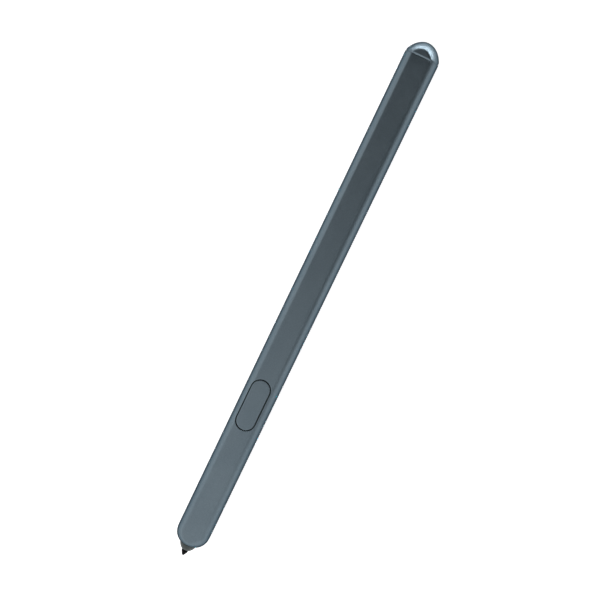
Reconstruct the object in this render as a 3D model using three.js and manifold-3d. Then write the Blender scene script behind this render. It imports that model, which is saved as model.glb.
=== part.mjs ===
// A tablet stylus: a slim round barrel with one flat side, a flush side button and a replaceable nib.
// Behind the nib sit an induction coil on a ferrite core, a pressure sensor, a circuit board with the
// button's switch, two holding magnets and a small storage cell, all on a two-piece plastic carrier.
// Millimetres. The pen lies on its round back along X with its flat side up: the nib points to -X and
// the domed end cap to +X. The origin is under the middle of the pen, on the surface it lies on.

import * as THREE from 'three';
import { mergeVertices } from 'three/addons/utils/BufferGeometryUtils.js';
import Module from 'manifold-3d';

const wasm = await Module();
wasm.setup();

// ---------------------------------------------------------------- driving dimensions

const penLength = 145; // nib point to the crown of the end cap
const bodyDiameter = 8.9;
const flatHeight = 3.65; // axis to the outside of the flat side
const wall = 0.7; // barrel wall
const fit = 0.05; // gap round a piece that is pushed or laid into place
const running = 0.08; // gap round a piece that slides
const seam = 0.02; // gap between faces that lie on each other
const over = 1; // how far a cutting shape runs past what it cuts

const bodySides = 32; // sides of the large round pieces
const smallSides = 24; // sides of the small round pieces

// Ends of the barrel
const noseDomeLength = 4.38;
const noseDomeCut = 0.86; // what the flat front face takes off the nose dome
const noseDomeFullness = [2.17, 2.17]; // exponents along and out: 2 and 2 are an ellipse, more is squarer
const capDomeLength = 3.88;
const capDomeFullness = [1.4, 2]; // its shoulder falls away sooner than an ellipse's
const domeSteps = 9;

// Nib and nose cone
const nibReach = 1.7; // how far the nib stands out of the nose cone
const noseReach = 2.2; // how far the nose cone stands out of the barrel
const nibPointRadius = 0.3;
const nibPointLength = 1.25; // from the point to the full width of the shaft
const nibShaftRadius = 0.85;
const nibTailRadius = 0.55;
const nibShaftLength = 7.7;
const nibTailLength = 6.6;
const noseBaseRadius = 2.4;
const noseTipRadius = 1.45;
const frontLand = 1.6; // length of the barrel's front hole
const sealThickness = 0.5; // cord of the nose seal ring
const noseFlangeLength = 1.2;
const noseStubLength = 0.9;
const noseStubWall = 0.65;

// Induction coil
const bufferThickness = 1.1;
const ferriteLength = 18.3;
const holderWall = 0.4; // nib holder round the nib's tail
const windingStart = 1.5; // from the ferrite's front end
const windingLength = 10;
const windingDepth = 0.5;
const sleeveThickness = 0.12;
const sleeveOverhang = 0.2;
const coilRoom = 0.3; // between the sleeve and the inside of the flat

// Pressure sensor
const nibTravel = 0.3;
const sensorRoom = 0.45; // between the sensor housing and the inside of the flat
const sensorWall = 0.4;
const sensorFrontWall = 0.6;
const holderFlange = 0.7;
const holderBossLength = 0.6;
const rubberRadius = 0.68;
const rubberLength = 1.45;
const rubberSink = 0.15; // how far the rubber's seat goes into the holder's flange
const contactGap = 0.15; // between the rubber and the disc at the end of the nib's travel
const springWire = 0.12; // wire radius
const springTurns = 3;
const discThickness = 0.5;
const terminalThickness = 0.2;
const terminalLegWidth = 1;
const terminalLegLap = 1.6; // length of the leg that lies on the board
const plugLength = 1.25;
const plugRim = 0.5;

// Side button and its switch
const buttonLength = 14.3; // of the window it fills, as the width is
const buttonWidth = 5.4;
const buttonGap = 0.26; // round the button, in its window
const buttonRecess = 0.05; // button's face below the flat
const buttonTravel = 0.3;
const buttonLead = 5.77; // from the sensor to the button's window
const tongueReach = 0.9; // past the window, under the barrel wall
const tongueWidth = 3.4;
const tongueThickness = 0.45;
const nubRadius = 0.9;
const nubHeight = 0.3;
const switchLength = 3.2;
const switchWidth = 3;
const switchWall = 0.3;
const switchFloor = 0.25;
const plungerRadius = 0.55;
const plungerFlangeRadius = 0.85;
const plungerFlange = 0.12;
const switchDomeRadius = 1.05;
const switchDomeSkin = 0.06;
const coverThickness = 0.12;
const stopGap = 0.03; // left under the button and the plunger at the end of their travel

// Circuit board and its components
const boardThickness = 0.6;
const boardGap = 0.4; // from the sensor, and to the storage cell
const boardEdge = 0.35; // between the board's edges and the barrel's bore
const radioChip = [3.6, 3.4, 0.6]; // length, width, height
const powerChip = [2.4, 2.2, 0.5];
const motionChip = [2.6, 2, 0.6];
const crystalCan = [2, 1.6, 0.45];
const capacitorBlock = [1, 1.5, 0.5];
const capacitorCount = 4;
const componentPitch = 0.8; // space between neighbouring components

// Carrier, magnets, storage cell and rear end
const ledge = 0.75; // width of the lower carrier's rim under the board
const carrierSkin = 0.4; // upper carrier over the storage cell
const carrierEndWall = 1.2;
const magnetLength = 12;
const magnetWidth = 3.4;
const magnetThickness = 0.95;
const magnetFloor = 0.12; // upper carrier's skin under a magnet
const magnetLead = 2.4; // from the upper carrier's front end, and from the board's rear end, to a magnet
const carrierLead = 1; // from the button's tongue to the upper carrier
const cellLength = 22;
const bungLength = 1.6;
const cellLeadRadius = 0.18;
const cellLeadSpread = 0.9;
const cellLeadLap = 3; // length of a lead that lies on the board
const antennaLength = 16;
const antennaWidth = 3.2;
const antennaThickness = 0.1;
const antennaRecess = 0.15;
const damperThickness = 1;
const spigotLength = 4.5; // of the end cap, inside the barrel
const spigotWall = 1.2;
const spigotFloor = 0.8;
const capSealWidth = 0.7;
const capSealDepth = 0.4;
const capSealInset = 1.3; // from the parting line
const snapHeight = 0.15;
const snapWidth = 0.6;
const snapInset = 0.7; // from the spigot's front end
const partingGap = 0.06;

// Leads from the coil
const leadRadius = 0.1;
const leadSpread = 1.2;
const leadLap = 1.2; // length of a lead that lies on the board
const leadSides = 8;

// ---------------------------------------------------------------- positions along the axis and heights

const bodyRadius = bodyDiameter / 2;
const boreRadius = bodyRadius - wall;
const boreFlat = flatHeight - wall;
const axisHeight = bodyRadius * Math.cos(Math.PI / bodySides); // the lowest facet lies on the surface

const barrelStart = nibReach + noseReach;
const partingLine = penLength - capDomeLength;

// Nose cone, seal and buffer, from the barrel's front face back
const noseHole = noseBaseRadius + fit;
const sealSeat = barrelStart + frontLand;
const sealSeatRadius = noseHole + sealThickness;
const flangeStart = sealSeat + sealThickness + seam;
const flangeEnd = flangeStart + noseFlangeLength;
const noseEnd = flangeEnd + noseStubLength;
const nibBore = nibShaftRadius + running;
const stubRadius = nibBore + noseStubWall;

// Coil unit. Its outside follows the bore, and the ferrite takes what the winding leaves.
const bufferStart = flangeEnd + seam;
const bufferEnd = bufferStart + bufferThickness;
const bufferRadius = Math.min(sealSeatRadius, boreRadius, boreFlat) - fit;
const ferriteStart = bufferEnd + seam;
const ferriteEnd = ferriteStart + ferriteLength;
const sleeveRadius = Math.min(boreRadius, boreFlat) - coilRoom;
const windingRadius = sleeveRadius - sleeveThickness - fit;
const ferriteRadius = windingRadius - windingDepth - seam;
const holderRadius = nibTailRadius + seam + holderWall;
const ferriteBore = holderRadius + running;
const windingFront = ferriteStart + windingStart;
const windingRear = windingFront + windingLength;

// Pressure sensor
const sensorStart = ferriteEnd + fit;
const chamberStart = sensorStart + sensorFrontWall;
const sensorRadius = Math.min(boreRadius, boreFlat) - sensorRoom;
const chamberRadius = sensorRadius - sensorWall;
const holderFlangeStart = chamberStart + fit;
const holderFlangeEnd = holderFlangeStart + holderFlange;
const holderBossEnd = holderFlangeEnd + holderBossLength;
const holderFlangeRadius = chamberRadius - running;
const rubberSeat = holderFlangeEnd - rubberSink;
const rubberEnd = rubberSeat + seam + rubberLength;
const discStart = rubberEnd + nibTravel + contactGap;
const terminalStart = discStart + discThickness + seam;
const plugStart = terminalStart + terminalThickness + seam;
const chamberEnd = plugStart + plugLength;
const sensorEnd = chamberEnd + plugRim;

// Nib and its holder
const nibShoulder = nibReach + nibShaftLength;
const nibEnd = nibShoulder + nibTailLength;
const holderStart = nibShoulder + seam;

// Button, from its face down to the board
const plungerStem = buttonTravel + stopGap + coverThickness;
const switchHeight = plungerStem + plungerFlange + buttonTravel + stopGap + switchFloor + seam;
const windowStart = sensorEnd + buttonLead;
const windowEnd = windowStart + buttonLength;
const buttonCentre = (windowStart + windowEnd) / 2;
const buttonFace = flatHeight - buttonRecess;
const tongueTop = boreFlat - fit;
const buttonUnderside = tongueTop - tongueThickness;
const nubFace = buttonUnderside - nubHeight;
const plungerTop = nubFace - seam;
const boardTop = plungerTop - switchHeight;
const boardBottom = boardTop - boardThickness;

// Rear end, from the parting line forward
const spigotStart = partingLine - spigotLength;
const damperEnd = spigotStart - seam;
const damperStart = damperEnd - damperThickness;
const carrierEnd = damperStart - seam;
const bungEnd = carrierEnd - carrierEndWall - fit;
const cellEnd = bungEnd - bungLength - seam;
const cellStart = cellEnd - cellLength;
const boardStart = sensorEnd + boardGap;
const boardEnd = cellStart - boardGap;

// Carrier
const carrierRadius = boreRadius - fit;
const carrierTop = boreFlat - fit;
const carrierStart = bufferEnd + seam;
const rimHeight = boardBottom - seam;
const upperStart = windowEnd + tongueReach + carrierLead;
const cellRadius = carrierTop - carrierSkin - fit;
const cellPocket = cellRadius + fit;
const boardHalfWidth = Math.sqrt(boreRadius ** 2 - Math.max(boardTop ** 2, boardBottom ** 2)) - boardEdge;
const channelHalfWidth = boardHalfWidth + boardEdge - fit - ledge;
const frontMagnetStart = upperStart + magnetLead;
const rearMagnetStart = boardEnd - magnetLead - magnetLength;
const magnetTop = carrierTop - seam;
const magnetBottom = magnetTop - magnetThickness;
const componentCeiling = magnetBottom - seam - magnetFloor;

// ---------------------------------------------------------------- materials

const finish = (colour, roughness, metalness = 0) =>
	new THREE.MeshStandardMaterial({ color: colour, roughness, metalness });

const lacquer = finish(0x65737b, 0.35, 0.5);
const darkPlastic = finish(0x4a5554, 0.5);
const nibPlastic = finish(0x101112, 0.45);
const carrierPlastic = finish(0x2b2d30, 0.6);
const siliconeRubber = finish(0x3a3d40, 0.8);
const conductiveSilicone = finish(0x1a1a1c, 0.8);
const ferrite = finish(0x3c3a3a, 0.55);
const copper = finish(0xb4693a, 0.35, 1);
const clearFilm = finish(0xc78f32, 0.3);
const springSteel = finish(0xb9bcc0, 0.3, 1);
const ceramic = finish(0xe6e1d4, 0.4);
const solderMask = finish(0x14503a, 0.4);
const chipResin = finish(0x1b1c1e, 0.5);
const capacitorCeramic = finish(0xa98a63, 0.5);
const magnetNickel = finish(0xb7b9bd, 0.25, 1);
const cellCan = finish(0xa9adb3, 0.3, 1);
const foam = finish(0x202124, 0.95);

// ---------------------------------------------------------------- shape helpers

// A closed geometry as a solid that can be joined and cut.
function solid(geometry) {
	const bare = geometry.clone();
	for (const name of Object.keys(bare.attributes)) if (name !== 'position') bare.deleteAttribute(name);
	const merged = mergeVertices(bare, 1e-4);
	return new wasm.Manifold(new wasm.Mesh({
		numProp: 3,
		vertProperties: merged.attributes.position.array,
		triVerts: new Uint32Array(merged.index.array),
	}));
}

function geometryOf(manifold) {
	const mesh = manifold.getMesh();
	return new THREE.BufferGeometry()
		.setAttribute('position', new THREE.BufferAttribute(mesh.vertProperties, 3))
		.setIndex(new THREE.BufferAttribute(mesh.triVerts, 1));
}

const join = (first, ...others) =>
	geometryOf(others.reduce((sum, g) => sum.add(solid(g)), solid(first)));
const cut = (first, ...tools) =>
	geometryOf(tools.reduce((rest, g) => rest.subtract(solid(g)), solid(first)));
const common = (first, second) => geometryOf(solid(first).intersect(solid(second)));

// A piece turned about the pen's axis, from a profile of [position along the axis, radius].
function turned(profile, sides = smallSides) {
	const points = profile.map(([x, r]) => new THREE.Vector2(r, x));
	return new THREE.LatheGeometry(points, sides, Math.PI / sides).rotateZ(-Math.PI / 2);
}

const rod = (x0, x1, radius, sides) => turned([[x0, 0], [x0, radius], [x1, radius], [x1, 0]], sides);
const ring = (x0, x1, inner, outer, sides) =>
	turned([[x0, inner], [x0, outer], [x1, outer], [x1, inner], [x0, inner]], sides);

// A piece turned about a vertical line, from a profile of [radius, height].
function upright(profile, x, sides = smallSides) {
	const points = profile.map(([r, z]) => new THREE.Vector2(r, z));
	return new THREE.LatheGeometry(points, sides).rotateX(Math.PI / 2).translate(x, 0, 0);
}

function block(x0, x1, y0, y1, z0, z1) {
	return new THREE.BoxGeometry(x1 - x0, y1 - y0, z1 - z0)
		.translate((x0 + x1) / 2, (y0 + y1) / 2, (z0 + z1) / 2);
}

// A rod with the pen's flat side on it.
function flatted(x0, x1, radius, flat, sides = bodySides) {
	const beyond = 2 * radius;
	return cut(rod(x0, x1, radius, sides), block(x0 - over, x1 + over, -beyond, beyond, flat, flat + beyond));
}

// A slot shape with round ends, lying along the pen.
function stadium(x0, x1, width, z0, z1) {
	const r = width / 2;
	const shape = new THREE.Shape();
	shape.absarc(x1 - r, 0, r, -Math.PI / 2, Math.PI / 2);
	shape.absarc(x0 + r, 0, r, Math.PI / 2, 1.5 * Math.PI);
	return new THREE.ExtrudeGeometry(shape, { depth: z1 - z0, bevelEnabled: false, curveSegments: 12 })
		.translate(0, 0, z0);
}

// A round wire along a curve.
function wire(curve, radius, steps, sides) {
	const section = new THREE.Shape();
	section.absarc(0, 0, radius, 0, 2 * Math.PI);
	const options = { steps, extrudePath: curve, bevelEnabled: false, curveSegments: sides / 2 };
	return new THREE.ExtrudeGeometry(section, options);
}

// The rounded end of the body, as [distance from its widest place, radius] from the widest place out.
function domeProfile(length, radius, fullness, reach = length) {
	const [along, out] = fullness;
	const profile = [];
	for (let i = 0; i <= domeSteps; i++) {
		const share = Math.sin((i / domeSteps) * Math.asin(reach / length));
		const height = Math.max(0, 1 - share ** along) ** (1 / out);
		profile.push([share * length, radius * height]);
	}
	return profile;
}

const pen = new THREE.Group();
pen.position.set(-penLength / 2, 0, axisHeight);

function add(name, geometry, material) {
	const mesh = new THREE.Mesh(geometry, material);
	mesh.name = name;
	pen.add(mesh);
}

// ---------------------------------------------------------------- barrel, end cap and seals

function barrel() {
	const domeEnd = barrelStart - noseDomeCut + noseDomeLength;
	const dome = domeProfile(noseDomeLength, bodyRadius, noseDomeFullness, noseDomeLength - noseDomeCut)
		.map(([back, r]) => [domeEnd - back, r])
		.reverse();
	const rear = [[partingLine, bodyRadius], [partingLine, 0]];
	const outside = turned([[barrelStart, 0], ...dome, ...rear], bodySides);
	const overFlat = block(0, penLength, -bodyRadius, bodyRadius, flatHeight, 2 * bodyRadius);
	const noseSeat = turned([
		[barrelStart - over, 0],
		[barrelStart - over, noseHole],
		[sealSeat, noseHole],
		[sealSeat, sealSeatRadius],
		[flangeEnd, sealSeatRadius],
		[flangeEnd, 0],
	]);
	const bore = flatted(flangeEnd - seam, partingLine + over, boreRadius, boreFlat);
	const window = stadium(windowStart, windowEnd, buttonWidth, 0, flatHeight + over);
	const snapGroove = ring(
		spigotStart + snapInset - fit,
		spigotStart + snapInset + snapWidth + fit,
		boreRadius - over,
		boreRadius + snapHeight,
		bodySides,
	);
	const grooveFloor = block(0, penLength, -bodyRadius, bodyRadius, -bodyRadius, 0);
	return cut(outside, overFlat, noseSeat, bore, window, common(snapGroove, grooveFloor));
}

function endCap() {
	const dome = domeProfile(capDomeLength, bodyRadius, capDomeFullness).map(([x, r]) => [partingLine + x, r]);
	const front = partingLine + partingGap;
	const outside = turned([[front, 0], [front, bodyRadius], ...dome.slice(1)], bodySides);
	const overFlat = block(partingLine, penLength + over, -bodyRadius, bodyRadius, flatHeight, 2 * bodyRadius);
	const spigot = flatted(spigotStart, partingLine + over, carrierRadius, carrierTop);
	const snapRidge = ring(
		spigotStart + snapInset,
		spigotStart + snapInset + snapWidth,
		carrierRadius - over,
		carrierRadius + snapHeight,
		bodySides,
	);
	const lowerHalf = block(spigotStart, partingLine, -bodyRadius, bodyRadius, -bodyRadius, -seam);
	const hollowRadius = Math.min(carrierRadius, carrierTop) - spigotWall;
	const hollow = rod(spigotStart - over, partingLine - spigotFloor, hollowRadius);
	const grooveStart = partingLine - capSealInset - capSealWidth - 2 * seam;
	const grooveEnd = partingLine - capSealInset;
	const sealGroove = cut(
		flatted(grooveStart, grooveEnd, bodyRadius, flatHeight),
		flatted(grooveStart - over, grooveEnd + over, carrierRadius - capSealDepth, carrierTop - capSealDepth),
	);
	const shell = join(cut(outside, overFlat), spigot, common(snapRidge, lowerHalf));
	return cut(shell, hollow, sealGroove);
}

function capSeal() {
	const end = partingLine - capSealInset - seam;
	const start = end - capSealWidth;
	const inset = capSealDepth - seam;
	return cut(
		flatted(start, end, boreRadius - seam, boreFlat - seam),
		flatted(start - over, end + over, carrierRadius - inset, carrierTop - inset),
	);
}

add('barrel', barrel(), lacquer);
add('end_cap', endCap(), lacquer);
add('cap_seal', capSeal(), siliconeRubber);

// ---------------------------------------------------------------- nib and nose cone

function nib() {
	const point = [];
	const pointSteps = 5;
	for (let i = 0; i <= pointSteps; i++) {
		const a = (i / pointSteps) * THREE.MathUtils.degToRad(70);
		point.push([nibPointRadius * (1 - Math.cos(a)), nibPointRadius * Math.sin(a)]);
	}
	return turned([
		...point,
		[nibPointLength, nibShaftRadius],
		[nibShoulder, nibShaftRadius],
		[nibShoulder, nibTailRadius],
		[nibEnd, nibTailRadius],
		[nibEnd, 0],
	]);
}

function noseCone() {
	const edge = 0.25; // rounding where the nib comes out
	return turned([
		[nibReach, nibBore],
		[nibReach, noseTipRadius - edge],
		[nibReach + edge / 3, noseTipRadius - edge / 3],
		[nibReach + edge, noseTipRadius + edge / 3],
		[nibReach + noseReach / 2, (noseTipRadius + noseBaseRadius) / 2 + edge / 3],
		[barrelStart, noseBaseRadius],
		[flangeStart, noseBaseRadius],
		[flangeStart, sealSeatRadius - fit],
		[flangeEnd, sealSeatRadius - fit],
		[flangeEnd, stubRadius],
		[noseEnd, stubRadius],
		[noseEnd, nibBore],
		[nibReach, nibBore],
	]);
}

function noseSeal() {
	const r = sealThickness / 2 - seam;
	const profile = [];
	const sides = 12;
	for (let i = 0; i <= sides; i++) {
		const a = (i / sides) * 2 * Math.PI;
		profile.push([
			sealSeat + sealThickness / 2 - r * Math.cos(a),
			noseHole + sealThickness / 2 + r * Math.sin(a),
		]);
	}
	return turned(profile);
}

add('nib', nib(), nibPlastic);
add('nose_cone', noseCone(), darkPlastic);
add('nose_seal', noseSeal(), siliconeRubber);

// ---------------------------------------------------------------- induction coil

// A lead runs from the winding over the sensor housing and comes down on the board's front end.
function coilLead(side) {
	const y = side * leadSpread;
	const top = Math.sqrt((sensorRadius + 2 * leadRadius) ** 2 - leadSpread ** 2);
	const landing = boardTop + leadRadius + fit;
	const path = new THREE.CatmullRomCurve3([
		new THREE.Vector3(windingRear + seam, y, top),
		new THREE.Vector3(sensorStart, y, top),
		new THREE.Vector3(chamberEnd, y, top),
		new THREE.Vector3(sensorEnd + boardGap / 2, y, top),
		new THREE.Vector3(boardStart + leadLap / 3, y, (top + landing) / 2),
		new THREE.Vector3(boardStart + (2 * leadLap) / 3, y, landing),
		new THREE.Vector3(boardStart + (5 * leadLap) / 3, y, landing),
	], false, 'centripetal');
	return wire(path, leadRadius, 36, leadSides);
}

add('coil_buffer', ring(bufferStart, bufferEnd, stubRadius + fit, bufferRadius), siliconeRubber);
add('ferrite_core', ring(ferriteStart, ferriteEnd, ferriteBore, ferriteRadius), ferrite);
add('coil_winding', ring(windingFront, windingRear, ferriteRadius + seam, windingRadius), copper);
add(
	'coil_sleeve',
	ring(windingFront - sleeveOverhang, windingRear, windingRadius + fit, sleeveRadius),
	clearFilm,
);
add('coil_lead_left', coilLead(1), copper);
add('coil_lead_right', coilLead(-1), copper);

// ---------------------------------------------------------------- pressure sensor

function nibHolder() {
	return turned([
		[holderStart, nibTailRadius + seam],
		[holderStart, holderRadius],
		[holderFlangeStart, holderRadius],
		[holderFlangeStart, holderFlangeRadius],
		[holderFlangeEnd, holderFlangeRadius],
		[holderFlangeEnd, rubberRadius + holderWall],
		[holderBossEnd, rubberRadius + holderWall],
		[holderBossEnd, rubberRadius + seam],
		[rubberSeat, rubberRadius + seam],
		[rubberSeat, 0],
		[nibEnd + fit, 0],
		[nibEnd + fit, nibTailRadius + seam],
		[holderStart, nibTailRadius + seam],
	]);
}

function conductiveRubber() {
	const start = rubberSeat + seam;
	const crown = rubberRadius / 2;
	const profile = [[start, 0], [start, rubberRadius]];
	const steps = 4;
	for (let i = 0; i <= steps; i++) {
		const a = (i / steps) * (Math.PI / 2);
		profile.push([rubberEnd - crown * (1 - Math.sin(a)), rubberRadius * Math.cos(a)]);
	}
	return turned(profile);
}

// Runs between the holder's flange and the disc, round the holder's boss.
class SpringPath extends THREE.Curve {
	getPoint(t, target = new THREE.Vector3()) {
		const radius = (rubberRadius + holderWall + holderFlangeRadius) / 2;
		const start = holderFlangeEnd + springWire + seam;
		const end = discStart - springWire - seam;
		const a = t * springTurns * 2 * Math.PI;
		return target.set(start + t * (end - start), radius * Math.cos(a), radius * Math.sin(a));
	}
}

function sensorHousing() {
	return turned([
		[sensorStart, ferriteBore],
		[sensorStart, sensorRadius],
		[chamberEnd, sensorRadius],
		[chamberEnd, chamberRadius],
		[chamberStart, chamberRadius],
		[chamberStart, ferriteBore],
		[sensorStart, ferriteBore],
	]);
}

// A plate behind the disc with a leg that reaches back on to the board.
function sensorTerminal() {
	const plate = rod(terminalStart, terminalStart + terminalThickness, chamberRadius - fit);
	const half = terminalLegWidth / 2;
	const bottom = boardTop + seam;
	const legEnd = boardStart + terminalLegLap;
	return join(plate, block(terminalStart, legEnd, -half, half, bottom, bottom + terminalThickness));
}

function sensorPlug() {
	const half = terminalLegWidth / 2 + fit;
	const legBottom = boardTop + seam - fit;
	const legTop = legBottom + terminalThickness + 2 * fit;
	const plug = turned([
		[plugStart, 0],
		[plugStart, chamberRadius - fit],
		[chamberEnd + seam, chamberRadius - fit],
		[chamberEnd + seam, sensorRadius],
		[sensorEnd, sensorRadius],
		[sensorEnd, 0],
	]);
	return cut(plug, block(plugStart - over, sensorEnd + over, -half, half, legBottom, legTop));
}

add('nib_holder', nibHolder(), darkPlastic);
add('conductive_rubber', conductiveRubber(), conductiveSilicone);
add('pressure_spring', wire(new SpringPath(), springWire, 14 * springTurns, leadSides), springSteel);
add('dielectric_disc', rod(discStart, discStart + discThickness, chamberRadius - fit), ceramic);
add('sensor_terminal', sensorTerminal(), springSteel);
add('sensor_housing', sensorHousing(), carrierPlastic);
add('sensor_plug', sensorPlug(), carrierPlastic);

// ---------------------------------------------------------------- side button and switch

function sideButton() {
	const width = buttonWidth - 2 * buttonGap;
	const key = stadium(windowStart + buttonGap, windowEnd - buttonGap, width, buttonUnderside, flatHeight);
	const face = flatted(windowStart - over, windowEnd + over, bodyRadius - buttonRecess, buttonFace);
	const half = tongueWidth / 2;
	const tongue = block(
		windowStart - tongueReach,
		windowEnd + tongueReach,
		-half,
		half,
		buttonUnderside,
		tongueTop,
	);
	const nubOutline = [[0, nubFace], [nubRadius, nubFace], [nubRadius, tongueTop], [0, tongueTop]];
	const nub = upright(nubOutline, buttonCentre);
	return join(common(key, face), tongue, nub);
}

const switchBaseTop = plungerTop - plungerStem - plungerFlange - seam;
const switchFloorTop = boardTop + seam + switchFloor;

function switchBase() {
	const x0 = buttonCentre - switchLength / 2;
	const x1 = buttonCentre + switchLength / 2;
	const top = plungerTop - plungerStem;
	const well = upright([
		[0, switchFloorTop],
		[switchWidth / 2 - switchWall, switchFloorTop],
		[switchWidth / 2 - switchWall, top + over],
		[0, top + over],
	], buttonCentre);
	return cut(block(x0, x1, -switchWidth / 2, switchWidth / 2, boardTop + seam, top), well);
}

// A thin snap dome that stands on its rim in the switch's well, under the plunger.
function switchDome() {
	const rise = switchBaseTop - switchFloorTop - seam - 2 * switchDomeSkin;
	const steps = 6;
	const outer = [];
	const inner = [];
	for (let i = 0; i <= steps; i++) {
		const r = switchDomeRadius * (1 - i / steps);
		const height = switchFloorTop + seam + rise * (1 - (r / switchDomeRadius) ** 2);
		outer.push([r, height + switchDomeSkin]);
		inner.unshift([r, height]);
	}
	return upright([...inner, ...outer], buttonCentre);
}

function switchPlunger() {
	const bottom = plungerTop - plungerStem - plungerFlange;
	return upright([
		[0, bottom],
		[plungerFlangeRadius, bottom],
		[plungerFlangeRadius, bottom + plungerFlange],
		[plungerRadius, bottom + plungerFlange],
		[plungerRadius, plungerTop],
		[0, plungerTop],
	], buttonCentre);
}

function switchCover() {
	const bottom = plungerTop - plungerStem + seam;
	const plate = block(
		buttonCentre - switchLength / 2,
		buttonCentre + switchLength / 2,
		-switchWidth / 2,
		switchWidth / 2,
		bottom,
		bottom + coverThickness,
	);
	const hole = plungerRadius + running;
	const drill = [[0, bottom - over], [hole, bottom - over], [hole, bottom + over], [0, bottom + over]];
	return cut(plate, upright(drill, buttonCentre));
}

add('side_button', sideButton(), lacquer);
add('switch_base', switchBase(), chipResin);
add('switch_dome', switchDome(), springSteel);
add('switch_plunger', switchPlunger(), darkPlastic);
add('switch_cover', switchCover(), springSteel);

// ---------------------------------------------------------------- circuit board

function component(start, [length, width, height]) {
	const bottom = boardTop + seam;
	return block(start, start + length, -width / 2, width / 2, bottom, bottom + height);
}

add(
	'circuit_board',
	block(boardStart, boardEnd, -boardHalfWidth, boardHalfWidth, boardBottom, boardTop),
	solderMask,
);

let nextComponent = upperStart + componentPitch;
for (const [name, size, material] of [
	['timing_crystal', crystalCan, springSteel],
	['radio_chip', radioChip, chipResin],
	['power_chip', powerChip, chipResin],
	['motion_chip', motionChip, chipResin],
]) {
	add(name, component(nextComponent, size), material);
	nextComponent += size[0] + componentPitch;
}
for (let i = 1; i <= capacitorCount; i++) {
	add('tuning_capacitor_' + i, component(nextComponent, capacitorBlock), capacitorCeramic);
	nextComponent += capacitorBlock[0] + componentPitch;
}

// ---------------------------------------------------------------- carrier and magnets

function lowerCarrier() {
	const beyond = 2 * bodyRadius;
	const trough = cut(
		rod(carrierStart, carrierEnd, carrierRadius, bodySides),
		block(0, penLength, -beyond, beyond, rimHeight, rimHeight + beyond),
	);
	const coilBed = rod(carrierStart - over, windingRear + fit, sleeveRadius + fit);
	const ferriteBed = rod(windingRear, ferriteEnd + fit, ferriteRadius + fit);
	const sensorBed = rod(ferriteEnd, sensorEnd + fit, sensorRadius + fit);
	const boardChannel = common(
		rod(sensorEnd, boardEnd + boardGap, carrierRadius - ledge, bodySides),
		block(0, penLength, -channelHalfWidth, channelHalfWidth, -bodyRadius, bodyRadius),
	);
	const cellBed = rod(boardEnd, bungEnd + fit, cellPocket);
	return cut(trough, coilBed, ferriteBed, sensorBed, boardChannel, cellBed);
}

function magnetPocket(start) {
	const half = magnetWidth / 2 + fit;
	const floor = magnetBottom - seam;
	return block(start - fit, start + magnetLength + fit, -half, half, floor, floor + bodyRadius);
}

// Closes the carrier over the board and the cell, behind the button.
function upperCarrier() {
	const beyond = 2 * bodyRadius;
	const shell = cut(
		flatted(upperStart, carrierEnd, carrierRadius, carrierTop),
		block(0, penLength, -beyond, beyond, -beyond, rimHeight + seam),
	);
	const overBoard = block(0, boardEnd + fit, -beyond, beyond, -beyond, boardTop + seam);
	const componentRoom = block(
		upperStart - over,
		boardEnd + boardGap,
		-channelHalfWidth,
		channelHalfWidth,
		boardTop - over,
		componentCeiling,
	);
	const cellBed = rod(boardEnd, bungEnd + fit, cellPocket);
	const antennaBed = block(
		carrierEnd - antennaLength - carrierEndWall - fit,
		carrierEnd - carrierEndWall + fit,
		-antennaWidth / 2 - fit,
		antennaWidth / 2 + fit,
		carrierTop - antennaRecess,
		carrierTop + over,
	);
	return cut(
		shell,
		overBoard,
		componentRoom,
		cellBed,
		antennaBed,
		magnetPocket(frontMagnetStart),
		magnetPocket(rearMagnetStart),
	);
}

function magnet(start) {
	return block(start, start + magnetLength, -magnetWidth / 2, magnetWidth / 2, magnetBottom, magnetTop);
}

add('lower_carrier', lowerCarrier(), carrierPlastic);
add('upper_carrier', upperCarrier(), carrierPlastic);
add('front_magnet', magnet(frontMagnetStart), magnetNickel);
add('rear_magnet', magnet(rearMagnetStart), magnetNickel);

// ---------------------------------------------------------------- storage cell, antenna and damper

// Two pins run forward from the cell's face and lie under the board.
function cellLead(side) {
	const z = boardBottom - seam - cellLeadRadius;
	return rod(boardEnd - cellLeadLap, cellStart - seam, cellLeadRadius, leadSides)
		.translate(0, side * cellLeadSpread, z);
}

function antenna() {
	const end = carrierEnd - carrierEndWall;
	const half = antennaWidth / 2;
	const bottom = carrierTop - antennaRecess + seam;
	return block(end - antennaLength, end, -half, half, bottom, bottom + antennaThickness);
}

add('storage_cell', rod(cellStart, cellEnd, cellRadius), cellCan);
add('cell_bung', rod(cellEnd + seam, bungEnd, cellRadius), siliconeRubber);
add('cell_lead_left', cellLead(1), springSteel);
add('cell_lead_right', cellLead(-1), springSteel);
add('antenna_strip', antenna(), copper);
add('rear_damper', flatted(damperStart, damperEnd, carrierRadius - fit, carrierTop - fit), foam);

export default pen;
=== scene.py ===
"""A tablet stylus on a pale table: satin metallic lacquer, one flat side, a flush side button,
a small dark nose cone and a black nib. Metres; the pen lies along X with its flat side up."""

import math

import bmesh
import bpy
from mathutils import Matrix, Vector


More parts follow.
